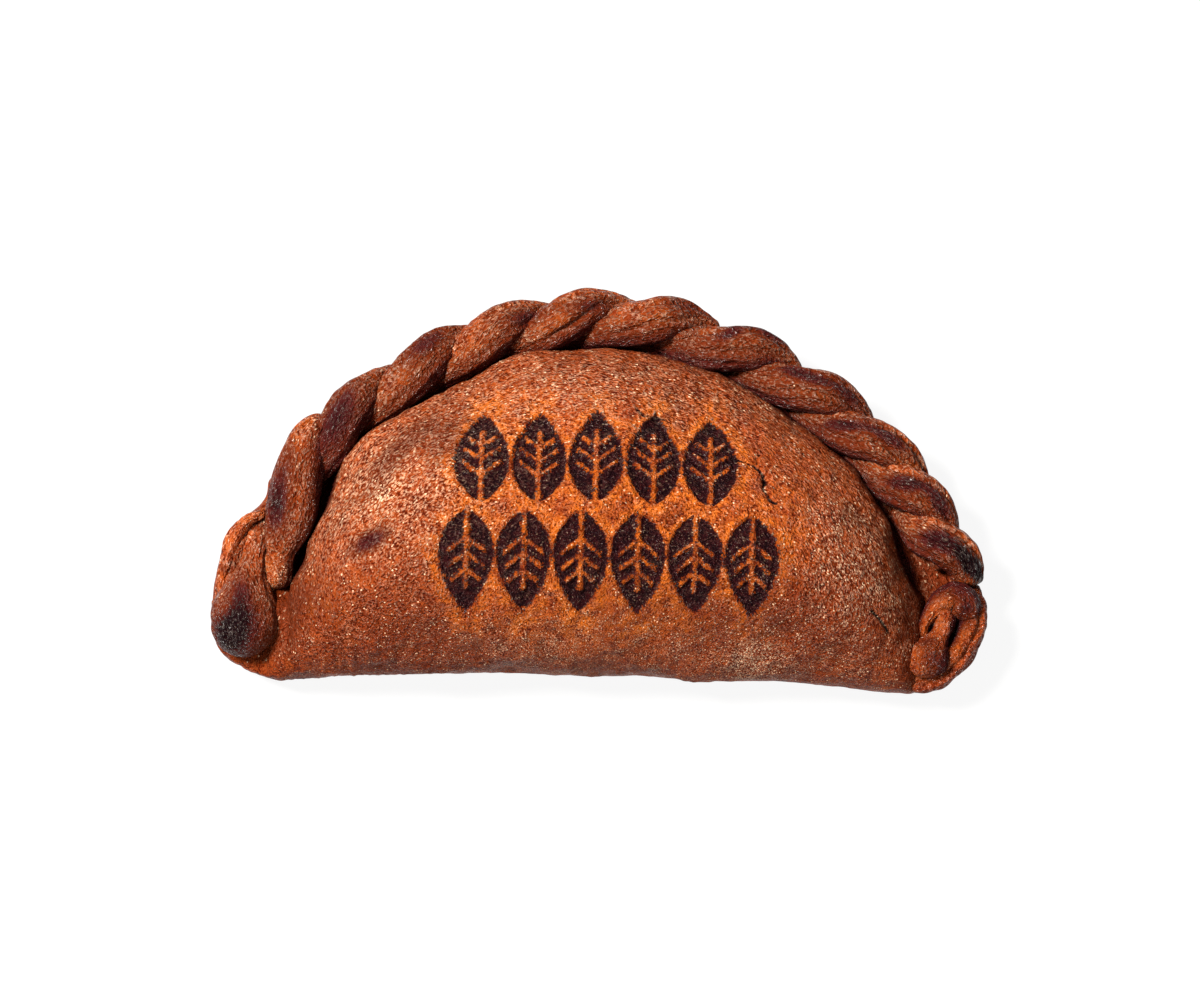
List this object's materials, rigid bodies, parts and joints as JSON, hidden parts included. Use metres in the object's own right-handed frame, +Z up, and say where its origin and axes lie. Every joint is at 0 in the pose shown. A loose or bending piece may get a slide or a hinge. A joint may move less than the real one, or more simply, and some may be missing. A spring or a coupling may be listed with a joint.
{
  "type": "empanada",
  "caption": "Baked half-moon empanada of cocoa dough with a domed belly, a rope-twisted crimp round its arc, a knob at one end and a folded curl at the other.",
  "frame": {"origin": "on the surface it rests on, under the middle of the whole empanada", "axes": "+X along the straight fold, from the knob to the curl; +Y from the fold to the crimp; +Z up"},
  "size_m": [0.1396, 0.0733, 0.0337],
  "materials": {
    "crust": "matte baked cocoa dough with darker toasted crests"
  },
  "bodies": {
    "root": {"empanada": "crust"}
  },
  "joints": []
}
